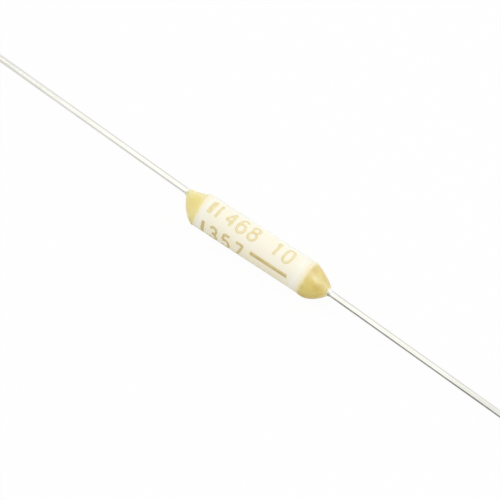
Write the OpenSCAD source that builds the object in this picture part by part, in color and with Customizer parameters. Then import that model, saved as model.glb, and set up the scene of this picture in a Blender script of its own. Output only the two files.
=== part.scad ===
// Axial thermal fuse: a fusible alloy link between two tinned wires, coated in flux,
// inside a white ceramic tube whose ends are closed with tan resin.
// Millimetres. X runs along the leads, Z is up and the origin is the tube's centre.

/* [Ceramic tube] */
// Outside diameter of the tube
tube_d = 3.1; // [2.8:0.1:4]
// Bore of the tube
tube_bore_d = 2.2; // [2:0.05:2.4]
// Length of the tube
tube_len = 10.9; // [10:0.1:14]
// Angle by which the tube sits askew on the line of the leads
tube_yaw = 2.4; // [0:0.1:3]

/* [Leads] */
// Diameter of the tinned copper wire
lead_d = 0.57; // [0.4:0.01:0.6]
// Length of each lead outside its seal
lead_len = 35; // [20:1:60]
// Distance of the leads from the tube's centre
lead_shift = 0.31; // [0:0.01:0.35]
// Broken edge at each cut end
lead_edge = 0.06; // [0.02:0.01:0.1]
// Depth in the resin at which the wire is coined flat
anchor_depth = 0.35; // [0.3:0.01:0.45]
// Length of the coined stretch
anchor_len = 1.6; // [0.8:0.1:2.4]
// Thickness of the coined stretch
anchor_t = 0.38; // [0.25:0.01:0.45]
// Width of the coined stretch
anchor_w = 0.67; // [0.5:0.01:0.7]

/* [Resin seals] */
// Height of the left seal beyond the tube's end
seal_left_h = 1.7; // [1.4:0.05:2.6]
// Height of the right seal beyond the tube's end
seal_right_h = 2.25; // [1.4:0.05:2.6]
// Swell of the left seal beyond a straight cone
seal_left_swell = 0.05; // [0.05:0.01:0.3]
// Swell of the right seal beyond a straight cone
seal_right_swell = 0.25; // [0.05:0.01:0.3]
// Sideways sag of the left seal, away from the leads
seal_left_sag = 0.05; // [0:0.01:0.2]
// Sideways sag of the right seal, away from the leads
seal_right_sag = 0.14; // [0:0.01:0.2]
// Length of resin lapped over the tube's end
seal_lap = 0.15; // [0.1:0.05:0.4]
// Thickness of the lapped resin
seal_lip = 0.03; // [0.02:0.01:0.06]
// Resin left round the wire at the tip
seal_tip_wall = 0.09; // [0.05:0.01:0.15]
// Length of resin that creeps along the wire beyond the tip
seal_creep = 0.2; // [0.1:0.05:0.3]
// Resin left round the wire where the creep ends
seal_film = 0.03; // [0.02:0.01:0.05]
// Depth of the resin plug inside the tube
plug_depth = 1.5; // [1:0.1:2]

/* [Fuse element] */
// Diameter of the alloy link
link_d = 0.6; // [0.4:0.05:0.7]
// Length of the link between the wire ends
link_len = 3; // [2:0.1:4]
// Alloy that wets round each wire end
bead_wall = 0.15; // [0.08:0.01:0.2]
// Length of the flux coat
flux_len = 6; // [5.2:0.1:6.6]
// Least air between the flux coat and the tube
flux_gap = 0.15; // [0.1:0.01:0.2]
// Flux film where the coat runs out on the wires
flux_film = 0.05; // [0.03:0.01:0.1]

/* [Hidden] */
$fn = 64;

tube_r = tube_d / 2;
bore_r = tube_bore_d / 2;
lead_r = lead_d / 2;
bead_r = lead_r + bead_wall;
flux_r = bore_r - lead_shift - flux_gap;
flux_end_r = lead_r + flux_film;
seal_tip_r = lead_r + seal_tip_wall;

// Resolution of the resin's outline: stations along its swell and creep, and sides round it
seal_stations = 18;
creep_stations = 5;
seal_sides = 56;
// Sides of the full circle whose short arc outlines the flux coat
flux_sides = 240;
// The resin stays centred on the tube and turns to the wire only near its tip
lean_power = 2.5;
// Depth by which the plug runs into the cap, so that both are one casting
plug_root = 0.3;
// Length by which the coined stretch runs into the round wire at either end
anchor_root = 0.05;
// Length of a cutter that reaches past what it cuts
overshoot = 1;

// Distance from the tube's axis to the leads at a station along the tube
function lead_offset(x) = lead_shift / cos(tube_yaw) - x * tan(tube_yaw);

// Where the leads leave the seals, measured along the leads
tip_left_x = lead_tip(-(tube_len / 2 + seal_left_h + seal_creep));
tip_right_x = lead_tip(tube_len / 2 + seal_right_h + seal_creep);
function lead_tip(x) = x * cos(tube_yaw) - lead_offset(x) * sin(tube_yaw);

// Radius of the arc that stands a given height over a chord
function arc_radius(chord, rise) = (chord * chord / 4 + rise * rise) / (2 * rise);

// Sideways offset of the resin at a height above the tube's end, on the -1 or +1 end
function seal_lean(x, h, sag, end) =
    let (share = min(max(x, 0) / h, 1))
    lead_offset(end * (tube_len / 2 + max(x, h))) * pow(share, lean_power) - sag * sin(180 * share);

// Points [height, radius] along a seal, from its lip over the swell and out along the wire
function seal_side(h, swell) =
    let (shoulder = [0, tube_r + seal_lip],
         tip = [h, seal_tip_r],
         run = tip - shoulder,
         chord = norm(run),
         outward = [-run.y, run.x] / chord,
         rad = arc_radius(chord, swell),
         centre = (shoulder + tip) / 2 + outward * (swell - rad),
         half = asin(chord / 2 / rad),
         middle = atan2(outward.y, outward.x))
    [[-seal_lap, shoulder.y],
     for (k = [0 : seal_stations])
        let (a = middle + half * (1 - 2 * k / seal_stations))
        centre + rad * [cos(a), sin(a)],
     for (k = [1 : creep_stations])
        let (to_go = 1 - k / creep_stations)
        [h + seal_creep * (1 - to_go),
         lead_r + seal_film + (seal_tip_wall - seal_film) * to_go * to_go]];

// Draws its children in the frame of the tube, which sits askew on the leads
module on_tube() {
    rotate([0, 0, tube_yaw]) children();
}

// Turns a shape made along Z so that it lies along X
module along_x() {
    rotate([0, 90, 0]) children();
}

// Skin through round sections, each given as [station, radius, sideways offset]
module round_loft(sections) {
    rows = len(sections);
    rim = [for (s = sections, i = [0 : seal_sides - 1])
        let (a = 360 * i / seal_sides)
        [s[0], s[2] + s[1] * cos(a), s[1] * sin(a)]];
    middles = [for (s = [sections[0], sections[rows - 1]]) [s[0], s[2], 0]];
    top = (rows - 1) * seal_sides;
    faces = [for (i = [0 : seal_sides - 1])
        let (j = (i + 1) % seal_sides)
        each concat(
            [[rows * seal_sides, i, j], [rows * seal_sides + 1, top + j, top + i]],
            [for (k = [0 : rows - 2])
                let (low = k * seal_sides, high = low + seal_sides)
                each [[low + i, high + j, low + j], [low + i, high + i, high + j]]])];
    polyhedron(concat(rim, middles), faces);
}

// Resin cap and plug of the -1 or +1 end, drawn toward +X on the tube
module resin_cap(h, swell, sag, end) {
    rim_x = tube_len / 2;
    outline = [for (p = seal_side(h, swell)) [rim_x + p.x, p.y, seal_lean(p.x, h, sag, end)]];
    difference() {
        round_loft(outline);
        along_x() translate([0, 0, rim_x - overshoot]) cylinder(h = overshoot, r = tube_r);
    }
    along_x() translate([0, 0, rim_x - plug_depth])
        cylinder(h = plug_depth + plug_root, r = bore_r);
}

// One wire from the link to its cut end, coined flat where the resin grips it
module wire(tip_x) {
    cut_x = tip_x + lead_len;
    anchor_x = tip_x - anchor_depth;
    translate([0, lead_shift, 0]) {
        along_x() {
            translate([0, 0, link_len / 2])
                cylinder(h = anchor_x - anchor_len - link_len / 2, r = lead_r);
            rotate_extrude() polygon([[0, anchor_x], [lead_r, anchor_x],
                [lead_r, cut_x - lead_edge], [lead_r - lead_edge, cut_x], [0, cut_x]]);
        }
        translate([anchor_x - anchor_len - anchor_root, -anchor_t / 2, -anchor_w / 2])
            cube([anchor_len + 2 * anchor_root, anchor_t, anchor_w]);
    }
}

module ceramic_tube() {
    color("ivory") on_tube() along_x() difference() {
        cylinder(h = tube_len, r = tube_r, center = true);
        cylinder(h = tube_len + overshoot, r = bore_r, center = true);
    }
}

module resin_seal_left() {
    color("burlywood") difference() {
        on_tube() mirror([1, 0, 0]) resin_cap(seal_left_h, seal_left_swell, seal_left_sag, -1);
        lead_left();
    }
}

module resin_seal_right() {
    color("burlywood") difference() {
        on_tube() resin_cap(seal_right_h, seal_right_swell, seal_right_sag, 1);
        lead_right();
    }
}

module lead_left() {
    color("silver") mirror([1, 0, 0]) wire(-tip_left_x);
}

module lead_right() {
    color("silver") wire(tip_right_x);
}

// Half section of the alloy, a rod with a bead at each end, before the wires are let into it
module alloy_section() {
    translate([0, -link_len / 2]) square([link_d / 2, link_len]);
    intersection() {
        for (end = [-1, 1]) translate([0, end * link_len / 2]) circle(r = bead_r);
        translate([0, -link_len]) square([bead_r, 2 * link_len]);
    }
}

// Half section of both wires, from the gap between them outward
module wire_section(gap) {
    for (end = [0, 1]) mirror([0, end]) translate([0, gap / 2]) square([lead_r, flux_len]);
}

// Turns a half section about the line of the leads
module on_leads() {
    translate([0, lead_shift, 0]) along_x() rotate_extrude() children();
}

module fusible_link() {
    color("slategray") on_leads() difference() {
        alloy_section();
        wire_section(link_len);
    }
}

// Spindle of flux round the link, which runs out to a film on both wires
module flux_coat() {
    rise = flux_r - flux_end_r;
    rad = arc_radius(flux_len, rise);
    color("goldenrod") on_leads() difference() {
        intersection() {
            translate([flux_r - rad, 0]) circle(r = rad, $fn = flux_sides);
            translate([0, -flux_len / 2]) square([flux_r, flux_len]);
        }
        alloy_section();
        wire_section(0);
    }
}

ceramic_tube();
resin_seal_left();
resin_seal_right();
lead_left();
lead_right();
fusible_link();
flux_coat();
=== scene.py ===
"""Axial thermal fuse: tinned leads, alloy link in flux, ceramic tube, resin seals and print."""
import math

import bmesh
import bpy
from mathutils import Matrix, Vector


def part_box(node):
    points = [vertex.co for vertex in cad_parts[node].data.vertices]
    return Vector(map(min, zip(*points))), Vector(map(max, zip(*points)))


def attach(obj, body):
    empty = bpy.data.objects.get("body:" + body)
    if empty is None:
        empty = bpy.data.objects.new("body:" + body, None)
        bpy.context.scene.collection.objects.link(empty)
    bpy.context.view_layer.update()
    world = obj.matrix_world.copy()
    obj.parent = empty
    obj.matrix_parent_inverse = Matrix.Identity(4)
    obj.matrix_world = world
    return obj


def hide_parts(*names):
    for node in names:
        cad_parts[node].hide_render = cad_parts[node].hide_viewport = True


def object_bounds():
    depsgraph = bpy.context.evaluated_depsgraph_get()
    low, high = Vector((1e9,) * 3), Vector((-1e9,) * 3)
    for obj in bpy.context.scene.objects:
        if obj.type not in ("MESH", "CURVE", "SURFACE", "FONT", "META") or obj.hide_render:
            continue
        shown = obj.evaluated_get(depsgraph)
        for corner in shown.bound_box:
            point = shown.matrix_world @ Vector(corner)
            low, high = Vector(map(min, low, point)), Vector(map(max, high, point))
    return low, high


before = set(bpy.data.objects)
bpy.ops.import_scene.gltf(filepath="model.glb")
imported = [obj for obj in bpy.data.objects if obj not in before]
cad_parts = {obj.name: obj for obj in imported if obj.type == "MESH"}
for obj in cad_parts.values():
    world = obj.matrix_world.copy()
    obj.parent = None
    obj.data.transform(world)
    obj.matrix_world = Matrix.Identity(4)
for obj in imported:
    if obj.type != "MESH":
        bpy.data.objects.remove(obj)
cad_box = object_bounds()

# Leads
# Two straight tinned copper wires, drawn round and cut off with a slightly broken edge.
# A short stretch inside each seal is coined flat, so that the resin holds the wire.

MM = 0.001
LEAD_R = 0.285 * MM
LEAD_Y = 0.31 * MM
LEAD_BARE = 35 * MM
LEAD_EDGE = 0.06 * MM
LEAD_EDGE_MIDDLE = 0.018 * MM
COINED_DEPTH = 0.35 * MM
COINED_LENGTH = 1.6 * MM
COINED_T = 0.38 * MM
COINED_W = 0.67 * MM
COINED_STEP = 0.05 * MM
COINED_SQUARENESS = 5
WIRE_SIDES = 64
WIRE_CREASE = math.radians(32)


class Term:
    """A number in a node tree that takes part in sums as a plain number does."""

    def __init__(self, tree, socket):
        self.tree, self.socket = tree, socket

    def calc(self, operation, *others):
        """What a math node makes of this term and others."""
        node = self.tree.nodes.new("ShaderNodeMath")
        node.operation = operation
        for slot, value in zip(node.inputs, (self, *others)):
            feed(self.tree, slot, value)
        return Term(self.tree, node.outputs[0])

    def __add__(self, other):
        return self.calc("ADD", other)

    def __sub__(self, other):
        return self.calc("SUBTRACT", other)

    def __mul__(self, other):
        return self.calc("MULTIPLY", other)

    def __truediv__(self, other):
        return self.calc("DIVIDE", other)

    def __pow__(self, other):
        return self.calc("POWER", other)


def feed(tree, slot, value):
    """Links a term or an output to an input, or sets the input to a plain value."""
    if isinstance(value, Term):
        value = value.socket
    if isinstance(value, bpy.types.NodeSocket):
        tree.links.new(value, slot)
    else:
        slot.default_value = value


def add_node(tree, kind, inputs=None, **settings):
    """Adds a node with its settings, and feeds its inputs by name or number."""
    node = tree.nodes.new(kind)
    for name, value in settings.items():
        setattr(node, name, value)
    for key, value in (inputs or {}).items():
        feed(tree, node.inputs[key], value)
    return node


def srgb(red, green, blue):
    """A colour as seen on a screen, 0 to 255, as the shader wants it."""
    def linear(c):
        c /= 255
        return c / 12.92 if c <= 0.04045 else ((c + 0.055) / 1.055) ** 2.4
    return (linear(red), linear(green), linear(blue), 1.0)


def new_material(name):
    """A material with its shader, and the place on the object in millimetres."""
    material = bpy.data.materials.new(name)
    material.use_nodes = True
    tree = material.node_tree
    shader = tree.nodes["Principled BSDF"]
    place = add_node(tree, "ShaderNodeTexCoord").outputs["Object"]
    in_mm = add_node(tree, "ShaderNodeMapping", {"Vector": place, "Scale": (1 / MM,) * 3})
    return material, tree, shader, in_mm.outputs[0]


def noise(tree, place, per_mm, detail=3.0, stretch=(1, 1, 1)):
    """So many grains to the millimetre, drawn out along an axis by a small stretch value."""
    drawn_out = add_node(tree, "ShaderNodeMapping", {"Vector": place, "Scale": stretch}).outputs[0]
    grain = add_node(tree, "ShaderNodeTexNoise",
                     {"Vector": drawn_out, "Scale": per_mm, "Detail": detail})
    return Term(tree, grain.outputs["Fac"])


def spread(tree, term, low, high, start=0.3, stop=0.7):
    """Goes smoothly from low to high while the term goes from start to stop."""
    node = add_node(tree, "ShaderNodeMapRange",
                    {"Value": term, "From Min": start, "From Max": stop, "To Min": low, "To Max": high},
                    interpolation_type="SMOOTHSTEP")
    return Term(tree, node.outputs[0])


def tint(tree, factor, first, second):
    """A colour between two others, through the sockets that a mix node keeps for colours."""
    mix = add_node(tree, "ShaderNodeMix", {0: factor, 6: first, 7: second}, data_type="RGBA")
    return mix.outputs[2]


def roughen(tree, shader, height, depth):
    """Stands a surface up by a height pattern of a given depth."""
    bump = add_node(tree, "ShaderNodeBump", {"Height": height, "Distance": depth, "Strength": 1.0})
    tree.links.new(bump.outputs[0], shader.inputs["Normal"])


def skin(mesh, rings):
    """Faces between each ring of points and the next."""
    for one, two in zip(rings, rings[1:]):
        for k in range(len(one)):
            j = (k + 1) % len(one)
            mesh.faces.new((one[k], one[j], two[j], two[k]))


def finished(name, mesh, crease, material):
    """An object from a closed mesh, smooth but for the edges that turn by more than the crease."""
    bmesh.ops.recalc_face_normals(mesh, faces=mesh.faces)
    data = bpy.data.meshes.new(name)
    mesh.to_mesh(data)
    mesh.free()
    data.shade_smooth()
    data.set_sharp_from_angle(angle=crease)
    data.materials.append(material)
    piece = bpy.data.objects.new(name, data)
    bpy.context.collection.objects.link(piece)
    return piece


def wire_ring(mesh, x, half_y, half_z, squareness):
    """One section of the wire: round at squareness 1, nearly a rectangle at higher values."""
    ring = []
    for k in range(WIRE_SIDES):
        a = 2 * math.pi * k / WIRE_SIDES
        c, s = math.cos(a), math.sin(a)
        y = half_y * math.copysign(abs(c) ** (1 / squareness), c)
        z = half_z * math.copysign(abs(s) ** (1 / squareness), s)
        ring.append(mesh.verts.new((x, LEAD_Y + y, z)))
    return ring


def draw_wire(name, node, end):
    """The wire of the -1 or +1 end, from the link out to where its CAD node is cut."""
    low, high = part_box(node)
    inner, cut = sorted((abs(low[0]), abs(high[0])))
    flat_out = cut - LEAD_BARE - COINED_DEPTH
    flat_in = flat_out - COINED_LENGTH
    whole = (LEAD_R, LEAD_R, 1)
    coined = (COINED_T / 2, COINED_W / 2, COINED_SQUARENESS)
    eased = (LEAD_R - LEAD_EDGE_MIDDLE, LEAD_R - LEAD_EDGE_MIDDLE, 1)
    tip = (LEAD_R - LEAD_EDGE, LEAD_R - LEAD_EDGE, 1)
    sections = [(inner, whole), (flat_in - COINED_STEP, whole), (flat_in, coined), (flat_out, coined),
                (flat_out + COINED_STEP, whole), (cut - LEAD_EDGE, whole),
                (cut - LEAD_EDGE_MIDDLE, eased), (cut, tip)]
    mesh = bmesh.new()
    rings = [wire_ring(mesh, end * x, *section) for x, section in sections]
    skin(mesh, rings)
    for ring in (rings[0], rings[-1]):
        mesh.faces.new(ring)
    wire = finished(name, mesh, WIRE_CREASE, tinned)
    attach(wire, "root")
    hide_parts(node)


tinned, tree, shader, place = new_material("tinned_wire")
drawn = noise(tree, place, per_mm=9.0, detail=4.0, stretch=(0.03, 1, 1))
cloud = noise(tree, place, per_mm=1.3, stretch=(0.35, 1, 1))
dull_tin, bright_tin = srgb(236, 235, 226), srgb(248, 248, 242)
shader.inputs["Metallic"].default_value = 1.0
feed(tree, shader.inputs["Base Color"],
     tint(tree, spread(tree, cloud * 0.6 + drawn * 0.4, 0, 1), dull_tin, bright_tin))
feed(tree, shader.inputs["Roughness"], spread(tree, drawn * 0.5 + cloud * 0.5, 0.12, 0.24))
roughen(tree, shader, drawn, depth=0.004 * MM)

draw_wire("tinned_lead_left", "lead_left", -1)
draw_wire("tinned_lead_right", "lead_right", 1)

# Link and flux
# A rod of low-melting alloy joins the two wire ends, and a spindle of clear amber flux covers it.
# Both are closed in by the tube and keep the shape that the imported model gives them.

alloy, tree, shader, place = new_material("fusible_alloy")
grain = noise(tree, place, per_mm=6.0, detail=4.0)
dull_alloy, bright_alloy = srgb(150, 152, 156), srgb(184, 186, 188)
shader.inputs["Metallic"].default_value = 1.0
feed(tree, shader.inputs["Base Color"], tint(tree, spread(tree, grain, 0, 1), dull_alloy, bright_alloy))
feed(tree, shader.inputs["Roughness"], spread(tree, grain, 0.35, 0.55))
roughen(tree, shader, grain, depth=0.006 * MM)

flux, tree, shader, place = new_material("amber_flux")
haze = noise(tree, place, per_mm=2.0)
dark_amber, light_amber = srgb(176, 118, 40), srgb(214, 160, 72)
feed(tree, shader.inputs["Base Color"], tint(tree, spread(tree, haze, 0, 1), dark_amber, light_amber))
feed(tree, shader.inputs["Roughness"], spread(tree, haze, 0.15, 0.3))
roughen(tree, shader, haze, depth=0.01 * MM)

for node, material in (("fusible_link", alloy), ("flux_coat", flux)):
    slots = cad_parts[node].data.materials
    slots.clear()
    slots.append(material)

# Ceramic tube
# A white fired tube with a plain bore and lightly broken rims. It sits a little askew on the
# leads, and its fine unglazed skin is faintly mottled and stained where the resin meets it.

TUBE_R = 1.55 * MM
TUBE_BORE_R = 1.1 * MM
TUBE_HALF = 5.45 * MM
TUBE_YAW = math.radians(2.4)
TUBE_RIM = 0.06 * MM
TUBE_RIM_STEPS = 3
TUBE_SIDES = 192
TUBE_CREASE = math.radians(40)


def tube_outline():
    """Half section of the tube wall, as stations and radii, round the wall once."""
    angles = [k * math.pi / 2 / TUBE_RIM_STEPS for k in range(TUBE_RIM_STEPS + 1)]
    rim = [(1 - math.cos(a), math.sin(a)) for a in angles]
    outer = [(TUBE_HALF - TUBE_RIM * x, TUBE_R - TUBE_RIM * (1 - r)) for x, r in rim]
    inner = [(TUBE_HALF - TUBE_RIM * x, TUBE_BORE_R + TUBE_RIM * (1 - r)) for x, r in rim]
    right = inner[::-1] + outer
    return right + [(-x, r) for x, r in reversed(right)]


def turned_tube(name, material):
    """The tube's outline turned about its axis, which sits askew on the leads."""
    askew = Matrix.Rotation(TUBE_YAW, 4, "Z")
    angles = [2 * math.pi * k / TUBE_SIDES for k in range(TUBE_SIDES)]
    mesh = bmesh.new()
    rings = [[mesh.verts.new(askew @ Vector((x, r * math.cos(a), r * math.sin(a)))) for a in angles]
             for x, r in tube_outline()]
    skin(mesh, rings + rings[:1])
    return finished(name, mesh, TUBE_CREASE, material)


def parts(tree, vector):
    """A vector's three parts, as terms."""
    return [Term(tree, part) for part in add_node(tree, "ShaderNodeSeparateXYZ", {0: vector}).outputs]


def on_tube(tree, place):
    """The place in the tube's own frame, as three terms in millimetres."""
    level = add_node(tree, "ShaderNodeMapping", {"Vector": place, "Rotation": (0, 0, -TUBE_YAW)})
    return parts(tree, level.outputs[0])


ceramic, tree, shader, place = new_material("fired_ceramic")
mottle = noise(tree, place, per_mm=0.9, detail=4.0)
grit = noise(tree, place, per_mm=14.0, detail=5.0)
clean = tint(tree, spread(tree, mottle, 0, 1), srgb(248, 246, 231), srgb(251, 249, 237))
speck = srgb(236, 230, 206)
speckled = tint(tree, spread(tree, grit, 0.35, 0, start=0.28, stop=0.42), clean, speck)

# resin stains the white beside both ends, less so on the far side
x, y, z = on_tube(tree, place)
along = x.calc("ABSOLUTE")
rim = TUBE_HALF / MM
resin_stain = srgb(246, 232, 190)
near_resin = spread(tree, along + mottle * 0.5, 0, 0.55, start=rim - 0.45, stop=rim + 0.15)
near_side = spread(tree, y, 1, 0.35, start=0.9, stop=1.45)
stained = tint(tree, near_resin * near_side, speckled, resin_stain)

# the white is a little warmer on the printed side, most of all along the lower row
around = (y * -1).calc("ARCTAN2", z)
ink_stain = srgb(250, 240, 208)
printed = (spread(tree, around, 0, 0.5, start=-0.9, stop=-0.5)
           + spread(tree, around, 0, 0.4, start=0.5, stop=1.0))
printed = printed * spread(tree, around, 1, 0, start=1.6, stop=2.0)
printed = printed * spread(tree, along, 1, 0, start=4.0, stop=5.0)
feed(tree, shader.inputs["Base Color"],
     tint(tree, printed * spread(tree, mottle, 0.6, 1.0), stained, ink_stain))
feed(tree, shader.inputs["Roughness"], spread(tree, grit * 0.5 + mottle * 0.5, 0.42, 0.58))
roughen(tree, shader, grit, depth=0.004 * MM)

tube = turned_tube("fired_tube", ceramic)
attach(tube, "root")
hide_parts("ceramic_tube")

# Resin seals
# Tan resin poured over each end of the tube. It plugs the bore, laps thinly over the rim, swells
# into a cone that leans over to the wire, and creeps a little way out along it.

SEAL_LEFT_H = 1.7 * MM
SEAL_RIGHT_H = 2.25 * MM
SEAL_LIP = 0.03 * MM
SEAL_LAP = 0.15 * MM
SEAL_TIP_R = LEAD_R + 0.09 * MM
SEAL_FILM_R = LEAD_R + 0.03 * MM
SEAL_CREEP = 0.2 * MM
SEAL_PLUG = 1.5 * MM
SEAL_SIDES = 128
SWELL_ROWS = 40
CREEP_ROWS = 8
OUTER_ROWS = SWELL_ROWS + CREEP_ROWS
WELD = 0.0002 * MM
# the lap's rounded edge, in shares of its length and thickness, and how far its length wanders
LAP_EDGE = ((1, -0.2), (0.97, 0.35), (0.8, 0.75), (0.45, 0.97))
LAP_WANDER = 0.8
# rows that close the solid: the wire's hole, the plug and its seat, the lap's edge and the shoulder
CLOSING_ROWS = 6 + 3 + len(LAP_EDGE) + 1
# midway between the two closing rows where the wire's hole is coined
COINED_ROW = OUTER_ROWS + 3.5
# millimetres over which the pale side of the resin darkens again
PALE_FADE = 0.6


def new_tree(name, sizes, finish, geometry=None):
    """A geometry tree with named inputs, its group input, and its sizes as terms."""
    tree = bpy.data.node_groups.new(name, "GeometryNodeTree")
    sockets = [(geometry, "NodeSocketGeometry")] if geometry else []
    sockets += [(size, "NodeSocketFloat") for size in sizes]
    sockets.append((finish, "NodeSocketMaterial"))
    for label, kind in sockets:
        tree.interface.new_socket(name=label, in_out="INPUT", socket_type=kind)
    tree.interface.new_socket(name="Geometry", in_out="OUTPUT", socket_type="NodeSocketGeometry")
    given = add_node(tree, "NodeGroupInput")
    return tree, given, [Term(tree, given.outputs[size]) for size in sizes]


def end_tree(tree, geometry, skew, finish):
    """Sets the geometry askew with the tube, gives it its finish and puts it out."""
    turned = add_node(tree, "GeometryNodeTransform",
                      {"Geometry": geometry, "Rotation": triple(tree, 0, 0, skew)})
    real = add_node(tree, "GeometryNodeRealizeInstances", {"Geometry": turned.outputs[0]})
    done = add_node(tree, "GeometryNodeSetMaterial", {"Geometry": real.outputs[0], "Material": finish})
    tree.links.new(done.outputs[0], add_node(tree, "NodeGroupOutput").inputs[0])


def triple(tree, x, y, z):
    """A vector from its three parts."""
    return add_node(tree, "ShaderNodeCombineXYZ", {0: x, 1: y, 2: z}).outputs[0]


def pick(tree, test, no, yes):
    """One of two vectors, by a test that is 0 or 1."""
    switch = add_node(tree, "GeometryNodeSwitch", {0: test, 1: no, 2: yes}, input_type="VECTOR")
    return switch.outputs[0]


def pick_ring(tree, number, rings):
    """One of several rings, each a height, a radius and a lean, by its number."""
    chooser = add_node(tree, "GeometryNodeIndexSwitch", data_type="VECTOR")
    while len(chooser.index_switch_items) < len(rings):
        chooser.index_switch_items.new()
    feed(tree, chooser.inputs[0], number)
    for k, ring in enumerate(rings):
        feed(tree, chooser.inputs[k + 1], triple(tree, *ring))
    return chooser.outputs[0]


def wander(tree, place, seed, per_mm, detail):
    """Seeded noise at a place in metres, with a plain output first and a coloured one second."""
    return add_node(tree, "ShaderNodeTexNoise",
                    {"Vector": place, "W": seed, "Scale": per_mm / MM, "Detail": detail},
                    noise_dimensions="4D").outputs


def swell_arc(share, height, shoulder, tip, swell):
    """Height and radius along an arc that stands over the cone from the shoulder to the tip."""
    fall = shoulder - tip
    chord = (height ** 2 + fall ** 2).calc("SQRT")
    bow = (chord ** 2 / 4 + swell ** 2) / (swell * 2)
    turn_by = (chord / 2 / bow).calc("ARCSINE") * (share * 2 - 1)
    run = bow * turn_by.calc("SINE")
    rise = bow * turn_by.calc("COSINE") - bow + swell
    x = height / 2 + run * height / chord + rise * fall / chord
    r = (shoulder + tip) / 2 - run * fall / chord + rise * height / chord
    return x, r


def resin_tree():
    """Rings about the tube's axis, each a height, a radius and a lean, skinned into a closed solid."""
    sizes = ("Height", "Swell", "Sag", "Shoulder radius", "Tip radius", "Creep", "Film radius", "Lap",
             "Tube radius", "Bore radius", "Plug depth", "Wire radius", "Coined depth", "Coined length",
             "Coined thickness", "Coined width", "Coined step", "Tube half length", "Wire offset",
             "Skew", "Lean power", "End", "Drawn back", "Ripple", "Seed")
    tree, given, terms = new_tree("poured_resin", sizes, "Resin")
    (height, swell, sag, shoulder, tip, creep, film, lap,
     tube_r, bore_r, plug, wire_r, coined_depth, coined_length,
     coined_t, coined_w, coined_step, half_length, offset,
     skew, power, end, drawn_back, ripple, seed) = terms

    rows = OUTER_ROWS + CLOSING_ROWS
    grid = add_node(tree, "GeometryNodeMeshGrid", {"Size X": 1.0, "Size Y": 1.0, "Vertices X": rows + 1,
                                                   "Vertices Y": SEAL_SIDES + 1})
    grid_x, grid_y, _ = parts(tree, add_node(tree, "GeometryNodeInputPosition").outputs[0])
    row = ((grid_x + 0.5) * rows).calc("ROUND")
    column = ((grid_y + 0.5) * SEAL_SIDES).calc("ROUND").calc("MODULO", SEAL_SIDES)
    angle = column * (2 * math.pi / SEAL_SIDES)
    cosine, sine = angle.calc("COSINE"), angle.calc("SINE")

    # where the resin has drawn back on the +Y side it ends on the rim and laps over nothing
    lip = shoulder - tube_r
    shoulder = shoulder - drawn_back * cosine.calc("MAXIMUM", 0) ** 2
    seat = tube_r.calc("MINIMUM", shoulder)
    lap_t = shoulder - seat
    lap = lap * lap_t / lip

    # the swell runs from the shoulder to the tip, and the creep tapers off to a film on the wire
    swell_share = row / SWELL_ROWS
    swell_x, swell_r = swell_arc(swell_share, height, shoulder, tip, swell)
    creep_share = (row - SWELL_ROWS) / CREEP_ROWS
    creep_x = height + creep * creep_share
    creep_r = film + (tip - film) * (creep_share * -1 + 1) ** 2

    # a soft unevenness, none at the lip and the tip
    surface = triple(tree, swell_x, swell_r * cosine, swell_r * sine)
    uneven = Term(tree, wander(tree, surface, seed, per_mm=0.8, detail=1.0)[0]) - 0.5
    swell_r = swell_r + uneven * ripple * 2 * (swell_share * math.pi).calc("SINE").calc("MAXIMUM", 0)

    def wire_at(x):
        """Sideways place of the wire at a height above the tube's end."""
        return offset - end * (half_length + x) * skew.calc("TANGENT")

    def lean(x):
        """Sideways place of the resin, which sags and then turns to the wire near its tip."""
        share = (x.calc("MAXIMUM", 0) / height).calc("MINIMUM", 1)
        sagged = sag * (share * math.pi).calc("SINE")
        return wire_at(x.calc("MAXIMUM", height)) * share ** power - sagged

    # the solid closes along the wire's hole, the plug, its seat on the tube and the lap's edge
    zero = height * 0
    mouth = height + creep
    flat_out = mouth - coined_depth
    flat_in = flat_out - coined_length
    hole = (mouth, flat_out + coined_step, flat_out, flat_in, flat_in - coined_step, plug * -1)
    lap_end = lap * -1 - uneven * lap * LAP_WANDER
    closing = [(x, wire_r, wire_at(x)) for x in hole]
    closing += [(plug * -1, bore_r, zero), (zero, bore_r, zero), (zero, seat, zero)]
    closing += [(lap_end * back, seat + lap_t * out, zero) for back, out in LAP_EDGE]
    closing.append((zero, shoulder, zero))

    swollen = triple(tree, swell_x, swell_r, lean(swell_x))
    crept = triple(tree, creep_x, creep_r, lean(creep_x))
    outside = pick(tree, row.calc("GREATER_THAN", SWELL_ROWS), swollen, crept)
    inside = pick_ring(tree, row - (OUTER_ROWS + 1), closing)
    x, r, side = parts(tree, pick(tree, row.calc("GREATER_THAN", OUTER_ROWS), outside, inside))
    coined = (row - COINED_ROW).calc("ABSOLUTE").calc("LESS_THAN", 1)

    def reach(turned, coined_size):
        """Distance from a ring's middle along one axis: round, or nearly square where it is coined."""
        half = r + (coined_size / 2 - r) * coined
        squared = coined * (1 / COINED_SQUARENESS - 1) + 1
        return half * turned.calc("SIGN") * turned.calc("ABSOLUTE") ** squared

    spot = triple(tree, end * (half_length + x), side + reach(cosine, coined_t),
                  end * reach(sine, coined_w))
    skinned = add_node(tree, "GeometryNodeSetPosition", {"Geometry": grid.outputs[0], "Position": spot})
    welded = add_node(tree, "GeometryNodeMergeByDistance",
                      {"Geometry": skinned.outputs[0], "Distance": WELD})
    outward = add_node(tree, "GeometryNodeFlipFaces", {"Mesh": welded.outputs[0]})
    smooth = add_node(tree, "GeometryNodeSetShadeSmooth", {"Geometry": outward.outputs[0]})
    end_tree(tree, smooth.outputs[0], skew, given.outputs["Resin"])
    return tree


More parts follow.
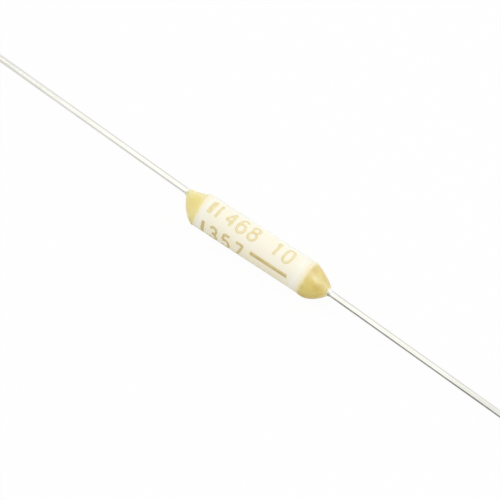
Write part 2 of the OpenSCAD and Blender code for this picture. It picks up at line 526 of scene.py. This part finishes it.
def bake(name, tree, values, start=None):
    """Runs a geometry tree with the given inputs and keeps its result as a plain mesh."""
    source = bpy.data.objects.new(name, start or bpy.data.meshes.new(name))
    bpy.context.collection.objects.link(source)
    modifier = source.modifiers.new("shape", "NODES")
    modifier.node_group = tree
    inputs = [item for item in tree.interface.items_tree if item.in_out == "INPUT"]
    ids = {item.name: item.identifier for item in inputs}
    for key, value in values.items():
        modifier[ids[key]] = value
    found = source.evaluated_get(bpy.context.evaluated_depsgraph_get())
    data = bpy.data.meshes.new_from_object(found)
    source.modifiers.remove(modifier)
    source.data = data
    data.name = name
    return source


def from_wire(tree, place):
    """The distance from the line of the leads and its parts along Y and Z, in millimetres."""
    _, y, above = parts(tree, place)
    aside = y - LEAD_Y / MM
    return (aside ** 2 + above ** 2).calc("SQRT"), aside, above


def resin_material(name, height, thick, deep, thin, edge, pale, wetting):
    """Cured resin: paler where it runs out thin over the white rim, clouded, with fine filler grains.

    The edge says where the resin begins to cover the white and where it covers it fully, both from
    the tube's end, the slant of that line, and how far it is drawn back at the +Y side. Pale says
    where the resin is painted paler toward +Y as a painted highlight, how much, and how much of that is
    left at the far side.
    The wetting says how much sooner it thins to a film on the wire toward +Y and +Z.
    """
    material, tree, shader, place = new_material(name)
    cloud = noise(tree, place, per_mm=0.9)
    filler = noise(tree, place, per_mm=16.0, detail=4.0)
    body = tint(tree, spread(tree, cloud, 0, 1), thick, deep)
    grained = tint(tree, spread(tree, filler, 0.22, 0, start=0.25, stop=0.45), body, thin)

    x, y, _ = on_tube(tree, place)
    reach, aside, above = from_wire(tree, place)
    # painted highlight: the resin is painted paler toward +Y, where the light falls, and round the wire
    # near the tip
    begins, full, most = pale["begin"], pale["full"], pale["most"]
    paler = spread(tree, y, 0, most, start=begins, stop=full)
    fading = spread(tree, y, 0, most - pale["left"], start=full, stop=full + PALE_FADE)
    round_wire = spread(tree, reach, 0.18, 0, start=0.4, stop=0.9)
    grained_with_painted_highlight = tint(tree, (paler - fading).calc("MAXIMUM", round_wire), grained, thin)

    along = x.calc("ABSOLUTE")
    rim = TUBE_HALF / MM
    drawn_back = spread(tree, y, 0, edge["drawn back"], start=1.0, stop=TUBE_R / MM)
    depth = along - y * edge["slant"] - drawn_back + (cloud - 0.5) * 0.3
    covered = spread(tree, depth, 0, 1, start=rim + edge["begin"], stop=rim + edge["full"])
    capped = tint(tree, covered, thin, grained_with_painted_highlight)

    # at the tip the resin is a film, through which the bright wire shows
    tip, lead_r = rim + height / MM, LEAD_R / MM
    film = spread(tree, reach - aside * wetting["y"] - above * wetting["z"], 1, 0,
                  start=lead_r + 0.02, stop=lead_r + 0.16)
    film = film * spread(tree, along, 0, 1, start=tip - 0.35, stop=tip - 0.05)
    feed(tree, shader.inputs["Base Color"], tint(tree, film, capped, srgb(248, 245, 232)))
    feed(tree, shader.inputs["Metallic"], film * spread(tree, aside, 1, 0, start=-0.15, stop=0.1))

    thickness = spread(tree, depth, 0, 0.6, start=rim + 0.1, stop=rim + 0.7)
    feed(tree, shader.inputs["Subsurface Weight"], thickness * (film * -1 + 1))
    shader.inputs["Subsurface Radius"].default_value = (1.0, 0.8, 0.4)
    shader.inputs["Subsurface Scale"].default_value = 0.3 * MM
    shader.inputs["Sheen Weight"].default_value = 0.25
    shader.inputs["Sheen Roughness"].default_value = 0.5
    shader.inputs["Specular IOR Level"].default_value = 0.75
    dull = spread(tree, cloud * 0.6 + filler * 0.4, 0.3, 0.42)
    feed(tree, shader.inputs["Roughness"], dull - film * 0.16)
    roughen(tree, shader, filler * 0.5 + cloud * 2, depth=0.012 * MM)
    return material


# pale sets how strong each seal's painted highlight toward +Y is
left_resin = resin_material(
    "pale_tan_resin", SEAL_LEFT_H,
    thick=srgb(243, 230, 155), deep=srgb(239, 222, 137), thin=srgb(250, 242, 204),
    edge={"begin": -0.66, "full": 0.18, "slant": 0.14, "drawn back": 0.4},
    pale={"begin": 0.2, "full": 0.8, "most": 0.3, "left": 0.3}, wetting={"y": 0.3, "z": 0.0})
right_resin = resin_material(
    "tan_resin", SEAL_RIGHT_H,
    thick=srgb(224, 205, 117), deep=srgb(215, 189, 93), thin=srgb(250, 242, 206),
    edge={"begin": -0.15, "full": 0.3, "slant": 0.05, "drawn back": 0.0},
    pale={"begin": -0.6, "full": 0.1, "most": 0.33, "left": 0.15}, wetting={"y": 0.0, "z": 0.28})

poured = resin_tree()
shared = {"Shoulder radius": TUBE_R + SEAL_LIP, "Tip radius": SEAL_TIP_R, "Creep": SEAL_CREEP,
          "Film radius": SEAL_FILM_R, "Lap": SEAL_LAP, "Tube radius": TUBE_R,
          "Bore radius": TUBE_BORE_R, "Plug depth": SEAL_PLUG, "Wire radius": LEAD_R,
          "Coined depth": COINED_DEPTH, "Coined length": COINED_LENGTH, "Coined thickness": COINED_T,
          "Coined width": COINED_W, "Coined step": COINED_STEP, "Tube half length": TUBE_HALF,
          "Wire offset": LEAD_Y / math.cos(TUBE_YAW), "Skew": TUBE_YAW, "Lean power": 2.5,
          "Ripple": 0.05 * MM}
left = {"End": -1.0, "Height": SEAL_LEFT_H, "Swell": 0.08 * MM, "Sag": 0.0, "Drawn back": 0.18 * MM,
        "Seed": 3.0, "Resin": left_resin}
right = {"End": 1.0, "Height": SEAL_RIGHT_H, "Swell": 0.25 * MM, "Sag": 0.14 * MM, "Drawn back": 0.0,
         "Seed": 8.0, "Resin": right_resin}
for name, node, own in (("poured_seal_left", "resin_seal_left", left),
                        ("poured_seal_right", "resin_seal_right", right)):
    seal = bake(name, poured, {**shared, **own})
    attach(seal, "root")
    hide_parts(node)

# Print
# Plain figures in two rows and a few plain bars, stamped on the tube in thin tan ink. The ink
# stands about ten microns proud of the tube. The upper row's ink is paler, partly because it is more
# worn and partly as a painted highlight of the light on that side.

INK_STROKE = 0.22 * MM
INK_FILM = 0.016 * MM
INK_LAYER = 0.0004 * MM
INK_STEP = 0.04 * MM
INK_RAGGED = 0.03 * MM
FIGURE_W = 0.72 * MM
FIGURE_H = 1.33 * MM
PRINT_MIDDLE = math.radians(14.2)

# strokes of each figure in a box one wide and one high; a stroke that returns to its start is closed
FIGURES = {
    "0": [[(0.5, 1), (0.86, 0.88), (1, 0.5), (0.86, 0.12), (0.5, 0), (0.14, 0.12), (0, 0.5),
           (0.14, 0.88), (0.5, 1)]],
    "1": [[(0.2, 0.78), (0.55, 1)], [(0.55, 1), (0.55, 0)]],
    "3": [[(0.06, 0.86), (0.45, 1), (0.84, 0.91), (0.9, 0.73), (0.75, 0.58), (0.4, 0.53)],
          [(0.4, 0.53), (0.82, 0.46), (1, 0.27), (0.85, 0.07), (0.45, 0), (0, 0.14)]],
    "4": [[(0.76, 0), (0.76, 1)], [(0.76, 1), (0, 0.3)], [(0, 0.3), (1, 0.3)]],
    "5": [[(0.9, 1), (0.18, 1)], [(0.18, 1), (0.1, 0.55)],
          [(0.1, 0.55), (0.45, 0.64), (0.85, 0.55), (1, 0.32), (0.83, 0.07), (0.42, 0), (0, 0.12)]],
    "6": [[(0.88, 0.9), (0.54, 1), (0.18, 0.85), (0, 0.45), (0.1, 0.14), (0.45, 0), (0.86, 0.09),
           (1, 0.31), (0.85, 0.54), (0.48, 0.6), (0.14, 0.5), (0.02, 0.34)]],
    "7": [[(0, 1), (1, 1)], [(1, 1), (0.34, 0)]],
    "8": [[(0.5, 1), (0.83, 0.92), (0.91, 0.77), (0.79, 0.6), (0.5, 0.54), (0.21, 0.6), (0.09, 0.77),
           (0.17, 0.92), (0.5, 1)],
          [(0.5, 0.54), (0.88, 0.45), (1, 0.27), (0.85, 0.07), (0.5, 0), (0.15, 0.07), (0, 0.27),
           (0.12, 0.45), (0.5, 0.54)]],
}


def ink_tree():
    """Flat strokes with a film's thickness, bent round the tube at a row's place."""
    sizes = ("Stroke width", "Film", "Tube radius", "Row angle", "Row lean", "Skew", "Ragged", "Seed")
    tree, given, terms = new_tree("stamped_ink", sizes, "Ink", geometry="Strokes")
    stroke, film, tube_r, row_angle, row_lean, skew, ragged, seed = terms
    paths = add_node(tree, "GeometryNodeMeshToCurve", {"Mesh": given.outputs["Strokes"]})
    curved = add_node(tree, "GeometryNodeCurveSplineType", {"Curve": paths.outputs[0]},
                      spline_type="CATMULL_ROM")
    fine = add_node(tree, "GeometryNodeResampleCurve", {"Curve": curved.outputs[0], "Length": INK_STEP},
                    mode="LENGTH")
    upright = add_node(tree, "GeometryNodeSetCurveNormal", {"Curve": fine.outputs[0]}, mode="Z_UP")
    section = add_node(tree, "GeometryNodeCurvePrimitiveQuadrilateral",
                       {"Width": stroke, "Height": film})
    ribbon = add_node(tree, "GeometryNodeCurveToMesh",
                      {"Curve": upright.outputs[0], "Profile Curve": section.outputs[0],
                       "Fill Caps": True})
    here = add_node(tree, "GeometryNodeInputPosition").outputs[0]
    shift_x, shift_y, _ = parts(tree, wander(tree, here, seed, per_mm=12, detail=2.0)["Color"])
    flat_x, flat_y, lift = parts(tree, here)
    up = flat_y + (shift_y - 0.5) * ragged
    along = flat_x + up * row_lean + (shift_x - 0.5) * ragged
    radius = tube_r + lift
    angle = row_angle - up / tube_r
    bent = triple(tree, along, radius * angle.calc("SINE") * -1, radius * angle.calc("COSINE"))
    wrapped = add_node(tree, "GeometryNodeSetPosition",
                       {"Geometry": ribbon.outputs[0], "Position": bent})
    end_tree(tree, wrapped.outputs[0], skew, given.outputs["Ink"])
    return tree


def stroke_mesh(name, figures, bars):
    """Strokes laid flat and in layers: figures as (text, middle) and bars as two points, in metres."""
    paths = [[(middle + (x - 0.5) * FIGURE_W, (y - 0.5) * FIGURE_H) for x, y in line]
             for text, middle in figures for line in FIGURES[text]]
    points, edges = [], []
    for layer, line in enumerate(paths + bars):
        closed = line[0] == line[-1]
        line = line[:-1] if closed else line
        first = len(points)
        points += [(x, y, layer * INK_LAYER) for x, y in line]
        edges += [(first + k, first + k + 1) for k in range(len(line) - 1)]
        if closed:
            edges.append((first + len(line) - 1, first))
    data = bpy.data.meshes.new(name)
    data.from_pydata(points, edges, [])
    return data


def ink_material(name, full, worn, wear):
    """Tan ink that lies unevenly, so that the white of the tube shows through it."""
    material, tree, shader, place = new_material(name)
    patch = noise(tree, place, per_mm=2.2)
    fleck = noise(tree, place, per_mm=22.0)
    cover = spread(tree, patch * 0.6 + fleck * 0.4, wear, 1 - wear * 0.2, start=0.62, stop=0.38)
    feed(tree, shader.inputs["Base Color"], tint(tree, cover, full, worn))
    feed(tree, shader.inputs["Roughness"], spread(tree, fleck, 0.45, 0.6))
    roughen(tree, shader, fleck, depth=0.003 * MM)
    return material


def upright_bar(x):
    """A bar as high as the figures."""
    return [(x, -FIGURE_H / 2), (x, FIGURE_H / 2)]


def level_bar(start, end, y):
    """A bar along the tube."""
    return [(start, y), (end, y)]


def stamp_row(name, figures, bars, angle, lean, seed, ink):
    """One row of print, at an angle round the tube from the middle of the print."""
    sizes = {"Stroke width": INK_STROKE, "Film": INK_FILM, "Tube radius": TUBE_R,
             "Row angle": PRINT_MIDDLE + angle, "Row lean": lean, "Skew": TUBE_YAW,
             "Ragged": INK_RAGGED, "Seed": seed, "Ink": ink}
    print_row = bake(name, stamped, sizes, stroke_mesh(name, figures, bars))
    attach(print_row, "root")


# strokes that lie side by side make a broad bar
stamped = ink_tree()
# the upper row's ink is paler, partly as worn ink and partly as a painted highlight where the light
# falls on that side
stamp_row("print_upper",
          figures=(("4", -2.5 * MM), ("6", -1.36 * MM), ("8", -0.16 * MM), ("1", 2.17 * MM),
                   ("0", 3.37 * MM)),
          bars=[upright_bar(-4.52 * MM), upright_bar(-4.33 * MM), upright_bar(-3.73 * MM)],
          angle=math.radians(-27), lean=0.11, seed=2.0,
          ink=ink_material("worn_tan_ink_with_painted_highlight", srgb(239, 221, 160), srgb(246, 234, 190), wear=0.2))
stamp_row("print_lower",
          figures=(("3", -3.28 * MM), ("5", -2.0 * MM), ("7", -0.68 * MM)),
          bars=[upright_bar(-4.4 * MM), upright_bar(-4.3 * MM),
                level_bar(0.45 * MM, 4.15 * MM, 0.46 * MM), level_bar(0.45 * MM, 4.15 * MM, 0.58 * MM)],
          angle=math.radians(53), lean=-0.14, seed=5.0,
          ink=ink_material("full_tan_ink", srgb(213, 192, 130), srgb(225, 208, 152), wear=0.1))

# Floor, light and camera
# The fuse lies on a plain white floor under a soft white dome, with a bright band across the top
# that darkens toward the rim. Two broad lamps and a few dark cards shape the shine, and a long
# lens looks down from above.

FLOOR_Z = cad_box[0][2]
FLOOR_HALF = 2.0
FLOOR_GLOW = 0.95
FLOOR_DIMMED_IN_SHINE = 0.2
CARD_LIFT = 0.01 * MM
CARD_TOP = 22 * MM
LOW_CARD_TOP = 13.2 * MM


def seen_directly(tree):
    """1 for what the camera sees, straight or in a shine or a clear body, and 0 for other light."""
    ray = add_node(tree, "ShaderNodeLightPath")
    return (Term(tree, ray.outputs["Is Camera Ray"]) + ray.outputs["Is Glossy Ray"]
            + ray.outputs["Is Transmission Ray"]).calc("MINIMUM", 1)


def stage_piece(name, faces, material):
    """A piece of the studio, from faces given by their corners."""
    numbers = iter(range(sum(len(face) for face in faces)))
    data = bpy.data.meshes.new(name)
    data.from_pydata([corner for face in faces for corner in face], [],
                     [[next(numbers) for _ in face] for face in faces])
    data.materials.append(material)
    piece = bpy.data.objects.new(name, data)
    bpy.context.collection.objects.link(piece)
    return piece


white_floor = bpy.data.materials.new("white_floor")
white_floor.use_nodes = True
tree = white_floor.node_tree
tree.nodes.remove(tree.nodes["Principled BSDF"])
matt = add_node(tree, "ShaderNodeBsdfDiffuse", {"Color": (0.88, 0.88, 0.88, 1)})
in_shine = Term(tree, add_node(tree, "ShaderNodeLightPath").outputs["Is Glossy Ray"])
glow = add_node(tree, "ShaderNodeEmission",
                {"Color": (1, 1, 1, 1), "Strength": in_shine * -FLOOR_DIMMED_IN_SHINE + 1})
both = add_node(tree, "ShaderNodeMixShader",
                {0: seen_directly(tree) * FLOOR_GLOW, 1: matt.outputs[0], 2: glow.outputs[0]})
tree.links.new(both.outputs[0], tree.nodes["Material Output"].inputs["Surface"])
corners = ((-1, -1), (1, -1), (1, 1), (-1, 1))
floor = stage_piece("floor", [[(x * FLOOR_HALF, y * FLOOR_HALF, FLOOR_Z) for x, y in corners]],
                    white_floor)

dark = bpy.data.materials.new("dark_card")
dark.use_nodes = True
dark.node_tree.nodes["Principled BSDF"].inputs["Base Color"].default_value = (0.18, 0.18, 0.18, 1)

# cards on the floor to the right and close before the tube, and two that stand in front; they are
# seen in the shine alone
low = (FLOOR_Z + CARD_LIFT) / MM
top, low_top = CARD_TOP / MM, LOW_CARD_TOP / MM
cards_mm = [
    [(9, -2, low), (9, -60, low), (70, -60, low), (70, -2, low)],
    [(-7, -1.75, low), (-7, -5, low), (9, -5, low), (9, -1.75, low)],
    [(-14, -60, low), (-14, -60, top), (70, -60, top), (70, -60, low)],
    [(-10, -30, low), (-10, -30, low_top), (-26, -30, low)],
]
card = stage_piece("dark_card", [[Vector(corner) * MM for corner in face] for face in cards_mm], dark)
card.visible_camera = card.visible_diffuse = card.visible_shadow = False

scene = bpy.context.scene
world = bpy.data.worlds.new("white_dome")
scene.world = world
world.use_nodes = True
tree = world.node_tree
toward_x, toward_y, toward_z = parts(tree, add_node(tree, "ShaderNodeTexCoord").outputs["Generated"])
lift = spread(tree, toward_z, 0.0, 1.0, start=0.0, stop=0.4)
strip = spread(tree, (toward_x + 0.175).calc("ABSOLUTE"), 1.0, 0.0, start=0.12, stop=0.4)
rim_wide = spread(tree, toward_y, 0.8, 1.4, start=-0.7, stop=0.7)
rim_strip = spread(tree, toward_y, 0.34, 0.6, start=-0.7, stop=0.7)
dome_rim = rim_wide + (rim_strip - rim_wide) * strip
dome = dome_rim + (strip * 0.48 + 0.65 - dome_rim) * lift
direct = Term(tree, add_node(tree, "ShaderNodeLightPath").outputs["Is Camera Ray"])
level = dome + (dome * -1 + 1) * direct
feed(tree, tree.nodes["Background"].inputs["Strength"], level)
tree.nodes["Background"].inputs["Color"].default_value = (1, 1, 1, 1)

for name, energy, size, spot in (("lamp_right", 0.5, 0.17, (0.26, 0.19, 0.38)),
                                 ("lamp_left", 0.17, 0.14, (-0.31, -0.02, 0.39))):
    lamp_data = bpy.data.lights.new(name, "AREA")
    lamp_data.size = size
    lamp_data.energy = energy
    lamp = bpy.data.objects.new(name, lamp_data)
    bpy.context.collection.objects.link(lamp)
    lamp.location = spot
    lamp.rotation_mode = "QUATERNION"
    lamp.rotation_quaternion = (-lamp.location).to_track_quat("-Z", "Y")
    lamp.visible_camera = False

# the photograph's frame in pixels, and the place of the tube's middle in it
PHOTO_WIDTH = 500
PIXELS_PER_MM = 11.78
TUBE_MIDDLE_X = 254.0
TUBE_MIDDLE_Y = 243.3
AZIMUTH = math.radians(36.7)
ELEVATION = math.radians(73)
LENS = 382
SENSOR = 36

camera_data = bpy.data.cameras.new("camera")
camera_data.lens = LENS
camera_data.sensor_width = SENSOR
camera_data.clip_start, camera_data.clip_end = 0.01, 10
camera = bpy.data.objects.new("camera", camera_data)
bpy.context.collection.objects.link(camera)
scene.camera = camera
back = Vector((math.sin(AZIMUTH) * math.cos(ELEVATION), -math.cos(AZIMUTH) * math.cos(ELEVATION),
               math.sin(ELEVATION)))
right_way = Vector((math.cos(AZIMUTH), math.sin(AZIMUTH), 0))
up_way = back.cross(right_way)
aside_mm = (TUBE_MIDDLE_X - PHOTO_WIDTH / 2) / PIXELS_PER_MM
above_mm = (PHOTO_WIDTH / 2 - TUBE_MIDDLE_Y) / PIXELS_PER_MM
target = -(right_way * aside_mm + up_way * above_mm) * MM
distance = PHOTO_WIDTH / PIXELS_PER_MM * MM * LENS / SENSOR
camera.location = target + back * distance
camera.rotation_mode = "QUATERNION"
camera.rotation_quaternion = (-back).to_track_quat("-Z", "Y")

scene.view_settings.view_transform = "Standard"
